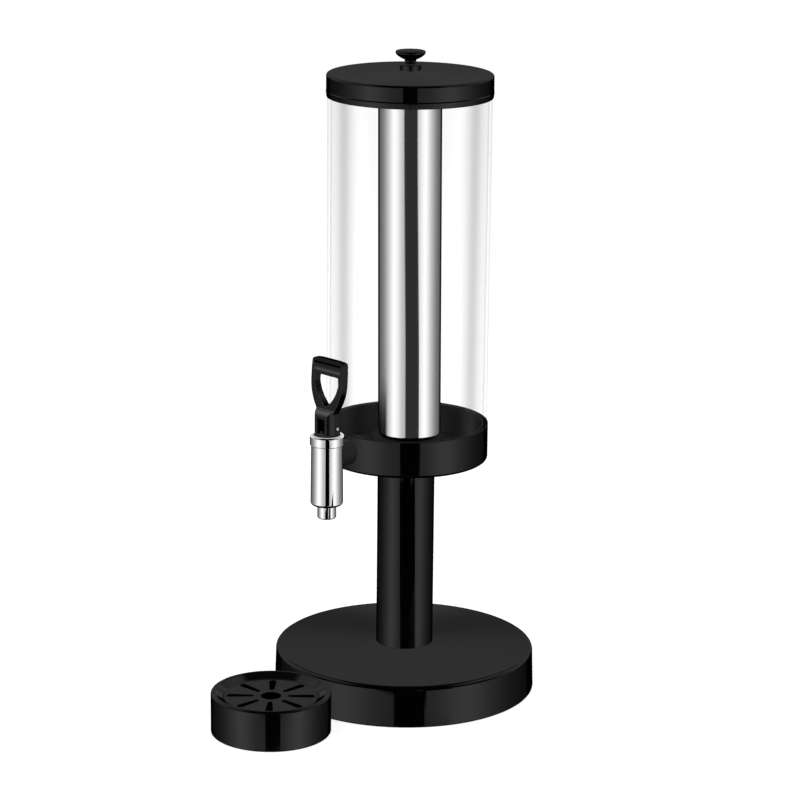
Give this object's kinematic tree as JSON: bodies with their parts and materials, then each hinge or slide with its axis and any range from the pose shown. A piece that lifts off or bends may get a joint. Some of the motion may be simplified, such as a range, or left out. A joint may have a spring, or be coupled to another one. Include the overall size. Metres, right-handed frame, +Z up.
{
  "type": "beverage tower dispenser",
  "caption": "Counter-top drink tower: round weighted base, column, clear tank with a central ice tube and lift-off lid, lever tap, and a loose round drip tray.",
  "frame": {"origin": "centre of the base pad on the table", "axes": "+Z up along the column; the tap and the drip tray are on the -Y side"},
  "size_m": [0.246, 0.3562, 0.6058],
  "materials": {
    "gloss_black": "high gloss black",
    "black_plastic": "semi-gloss moulded black",
    "ballast_iron": "rough cast",
    "cover_steel": "satin black",
    "steel": "plain stainless",
    "polished_steel": "mirror polished",
    "chrome": "mirror",
    "clear_acrylic": "clear",
    "rubber_black": "matt"
  },
  "bodies": {
    "tower": {"base_cover": "cover_steel", "base_pad": "rubber_black", "base_shell": "gloss_black", "base_weight": "ballast_iron", "collar_cup": "gloss_black", "collar_screws": "steel", "column_lower_plug": "steel", "column_tube": "gloss_black", "column_upper_plug": "steel", "cover_screws": "steel", "inner_gasket": "rubber_black", "saddle_gasket": "rubber_black", "shank_nut": "steel", "shank_washer": "steel", "stem_oring": "rubber_black", "tank_dish": "black_plastic", "tank_gasket": "rubber_black", "tank_tube": "clear_acrylic", "tap_barrel": "chrome", "tap_bonnet": "black_plastic", "tap_ring": "chrome", "tap_shank": "steel", "tap_spout": "chrome", "tie_rod": "steel", "tie_rod_nut": "steel", "tie_rod_washer": "steel"},
    "valve": {"valve_stem": "steel", "valve_cup": "rubber_black", "valve_spring": "steel"},
    "handle": {"tap_handle": "black_plastic", "handle_pin": "chrome"},
    "lid": {"lid_cap": "gloss_black", "lid_liner": "black_plastic", "lid_gasket": "rubber_black", "knob_boss": "gloss_black", "lid_knob": "gloss_black", "knob_screw": "steel"},
    "ice_tube": {"ice_tube": "polished_steel", "ice_tube_ring": "black_plastic"},
    "tray": {"tray_dish": "black_plastic", "tray_foot_ring": "rubber_black"},
    "grate": {"tray_grate": "black_plastic"}
  },
  "joints": [
    {"name": "valve_lift", "type": "slide", "parent": "tower", "child": "valve", "axis": [0, 0, 1], "range_m": [0, 0.00367], "deforming": ["valve_spring"]},
    {"name": "handle_tilt", "type": "hinge", "parent": "valve", "child": "handle", "pos_m": [0, -0.0997, 0.271], "axis": [1, 0, 0], "range_deg": [0, 35], "stiffness_Nm_per_rad": 0.054, "springref_deg": -57.3},
    {"name": "lid_lift", "type": "slide", "parent": "tower", "child": "lid", "axis": [0, 0, 1], "range_m": [0, 0.36]},
    {"name": "ice_tube_twist", "type": "hinge", "parent": "lid", "child": "ice_tube", "pos_m": [0, 0, 0.57], "axis": [0, 0, 1], "range_deg": [0, 60]},
    {"name": "tray_slide", "type": "slide", "parent": "tower", "child": "tray", "axis": [0, -1, 0], "range_m": [0, 0.1]},
    {"name": "grate_lift", "type": "slide", "parent": "tray", "child": "grate", "axis": [0, 0, 1], "range_m": [0, 0.04]}
  ],
  "couplings": [
    {"joint": "valve_lift", "follows": "handle_tilt", "m_per_rad": 0.006}
  ]
}
